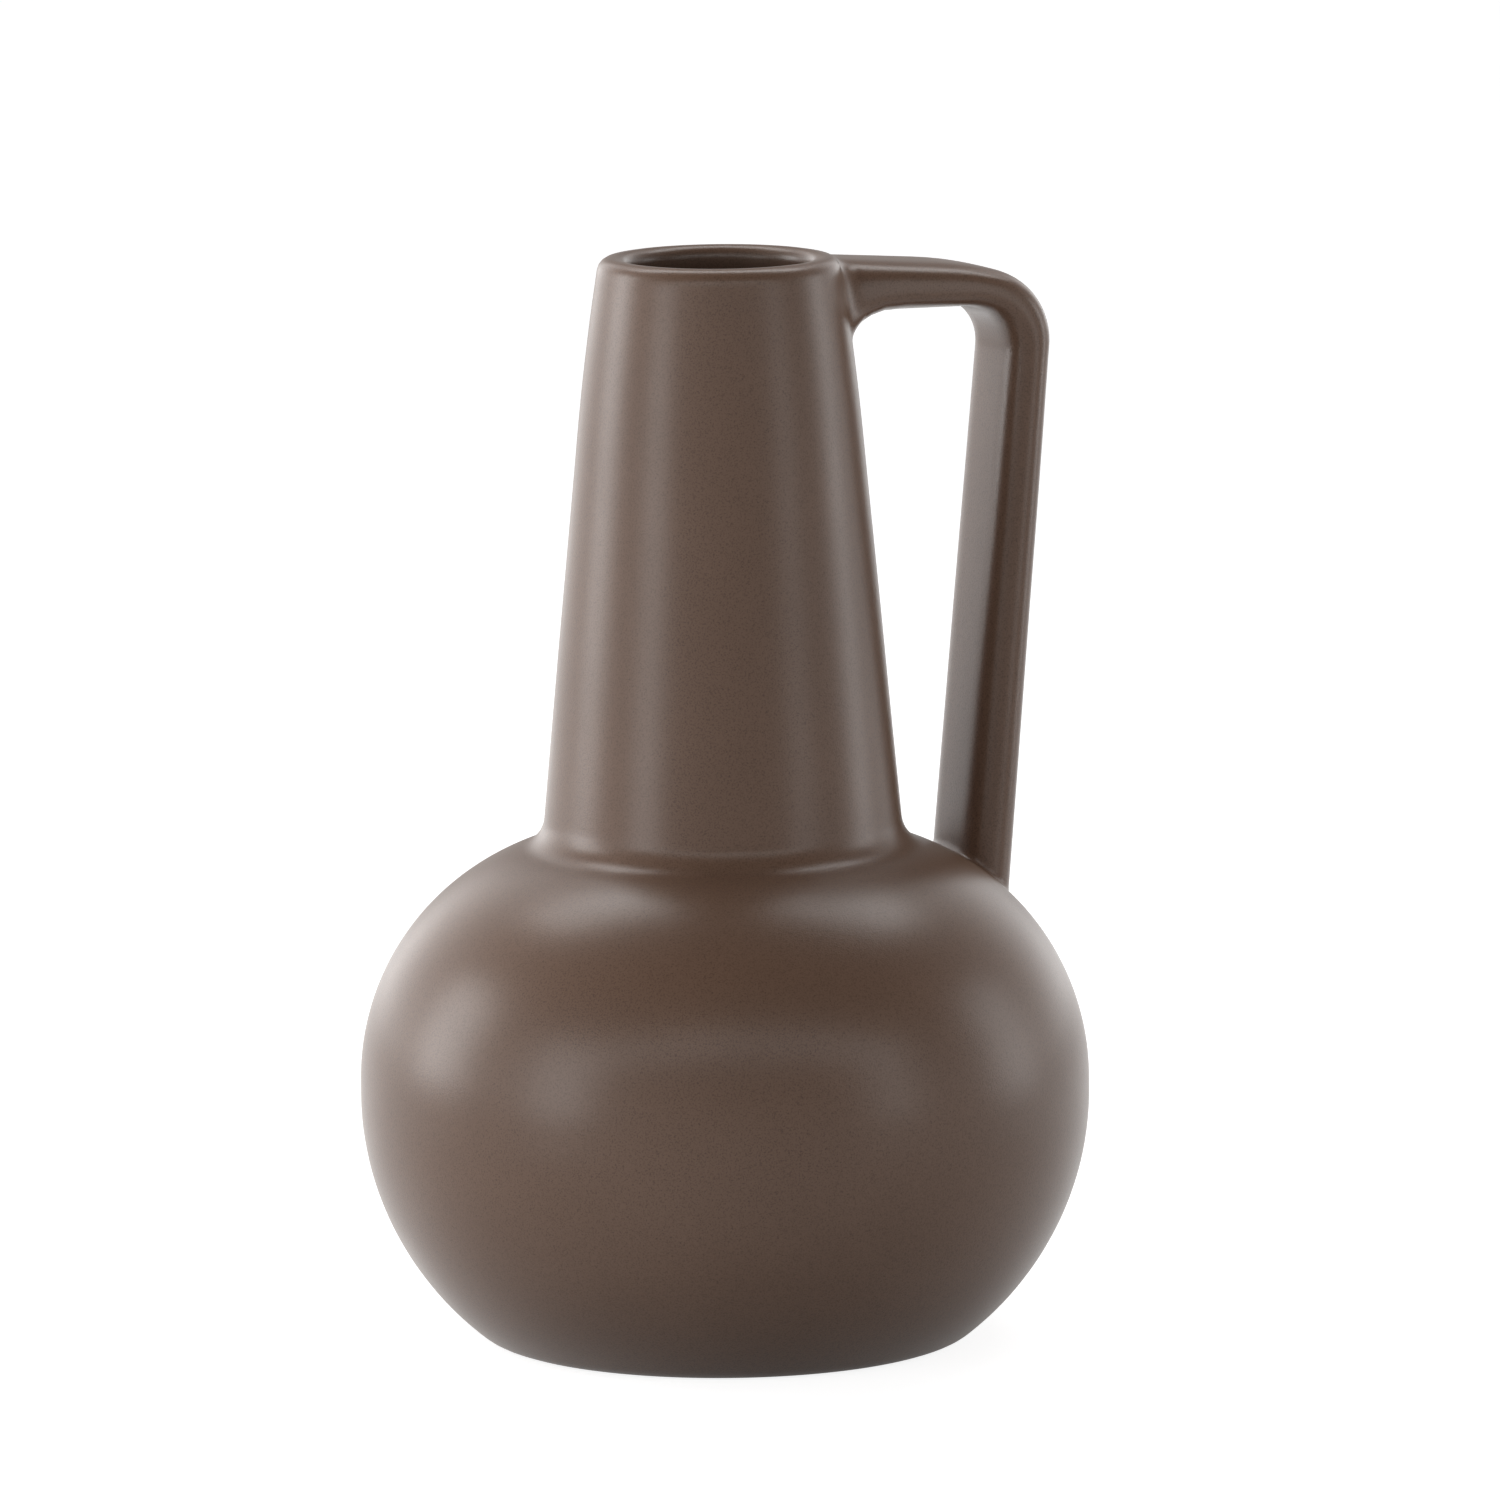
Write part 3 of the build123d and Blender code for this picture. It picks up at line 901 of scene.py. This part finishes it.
def room_light(tree, way, gap_way, looks):
    """Socket with the room's brightness in a direction: brightest behind on the left, dark right behind.

    The dark gap and the brighter bands on both sides of it go by a direction of their own.
    """
    nearness = vector_math(tree, "DOT_PRODUCT", way, studio_direction(*BRIGHT_SIDE), result="Value")
    fall = number_math(tree, "POWER", map_range(tree, nearness, -1.0, 1.0), looks.room_fall)
    level_way = vector_math(tree, "NORMALIZE", vector_math(tree, "MULTIPLY", gap_way, (1, 1, 0)))
    behind = vector_math(tree, "DOT_PRODUCT", level_way, studio_direction(pi, 0), result="Value")
    gap = map_range(tree, behind, *GAP_EDGES, 1.0, GAP_DIMMING, interpolation_type="SMOOTHSTEP")
    band = map_range(tree, behind, *BAND_EDGES, 1.0, BAND_GAIN, interpolation_type="SMOOTHSTEP")
    wall = number_math(tree, "MULTIPLY", number_math(tree, "MULTIPLY", fall, gap), band)
    return number_math(tree, "MULTIPLY", wall, looks.room)


class JUG_OT_stage(bpy.types.Operator):
    """Sets the pale floor, the lights, the white background and the camera"""
    bl_idname = "jug.stage"
    bl_label = "Stage"

    def execute(self, context):
        scene = context.scene
        looks = scene.jug_studio
        scene.view_settings.view_transform = "Standard"
        add_camera(scene)
        for name, brightness, *placing in LIGHTS:
            add_light(scene, name, getattr(looks, brightness), *placing)
        self.add_floor(scene, looks)
        self.add_world(scene, looks)
        return {"FINISHED"}

    def add_floor(self, scene, looks):
        """Round floor that the camera sees white, with the vessel's shadow."""
        bm = bmesh.new()
        bmesh.ops.create_circle(bm, cap_ends=True, segments=FLOOR_SEGMENTS, radius=FLOOR_RADIUS)
        mesh = bpy.data.meshes.new("floor")
        bm.to_mesh(mesh)
        bm.free()
        material, tree, shader = new_material("pale_floor")
        shader.inputs["Base Color"].default_value = opaque(looks.floor)
        shader.inputs["Roughness"].default_value = FLOOR_ROUGHNESS
        shader.inputs["Specular IOR Level"].default_value = 0.0
        shader.inputs["Emission Color"].default_value = WHITE
        path = add_node(tree, "ShaderNodeLightPath").outputs
        place = add_node(tree, "ShaderNodeTexCoord").outputs["Object"]
        way = vector_math(tree, "NORMALIZE", place)
        gap_way = vector_math(tree, "SUBTRACT", place, studio_direction(pi, 0) * GAP_START)
        sheen = number_math(tree, "MULTIPLY", room_light(tree, way, gap_way, looks), FLOOR_SHEEN)
        mirrored = number_math(tree, "MULTIPLY", path["Is Glossy Ray"], sheen)
        glow = number_math(tree, "MULTIPLY_ADD", path["Is Camera Ray"], FLOOR_GLOW, mirrored)
        tree.links.new(glow, shader.inputs["Emission Strength"])
        mesh.materials.append(material)
        floor = bpy.data.objects.new("floor", mesh)
        floor.location.z = -FLOOR_DROP
        scene.collection.objects.link(floor)

    def add_world(self, scene, looks):
        """Room that lights the vessel, white where the camera sees it."""
        world = bpy.data.worlds.new("studio")
        world.use_nodes = True
        scene.world = world
        tree = world.node_tree
        way = add_node(tree, "ShaderNodeTexCoord").outputs["Generated"]
        room = tree.nodes["Background"]
        room.inputs["Color"].default_value = WHITE
        tree.links.new(room_light(tree, way, way, looks), room.inputs["Strength"])
        white = add_node(tree, "ShaderNodeBackground", {"Color": WHITE, "Strength": 1.0})
        seen = add_node(tree, "ShaderNodeLightPath").outputs["Is Camera Ray"]
        mix = add_node(tree, "ShaderNodeMixShader", {0: seen, 1: room.outputs[0], 2: white.outputs[0]})
        tree.links.new(mix.outputs[0], tree.nodes["World Output"].inputs["Surface"])


class VIEW3D_PT_jug(bpy.types.Panel):
    """Lists the steps that build the jug vase, and its sizes and looks"""
    bl_label = "Jug vase"
    bl_space_type = "VIEW_3D"
    bl_region_type = "UI"
    bl_category = "Jug vase"

    def draw(self, context):
        layout = self.layout
        for operator in OPERATORS:
            layout.operator(operator.bl_idname)
        for name in PROPERTIES:
            group = getattr(context.scene, name)
            for key in group.bl_rna.properties.keys():
                if key not in ("rna_type", "name"):
                    layout.prop(group, key)


OPERATORS = (JUG_OT_stage, JUG_OT_bulb, JUG_OT_neck, JUG_OT_handle, JUG_OT_slip_joints)
PROPERTIES = {
    "jug_vessel": VesselSizes,
    "jug_handle": HandleSizes,
    "jug_glaze": GlazeLooks,
    "jug_studio": StudioLooks,
}


def register():
    for group in PROPERTIES.values():
        bpy.utils.register_class(group)
    for name, group in PROPERTIES.items():
        setattr(bpy.types.Scene, name, PointerProperty(type=group))
    for operator in OPERATORS:
        bpy.utils.register_class(operator)
    bpy.utils.register_class(VIEW3D_PT_jug)


def unregister():
    bpy.utils.unregister_class(VIEW3D_PT_jug)
    for operator in reversed(OPERATORS):
        bpy.utils.unregister_class(operator)
    for name, group in PROPERTIES.items():
        delattr(bpy.types.Scene, name)
        bpy.utils.unregister_class(group)


def main():
    register()
    bpy.ops.jug.stage()
    bpy.ops.jug.bulb()
    bpy.ops.jug.neck()
    bpy.ops.jug.handle()
    bpy.ops.jug.slip_joints()


if __name__ == "__main__":
    main()
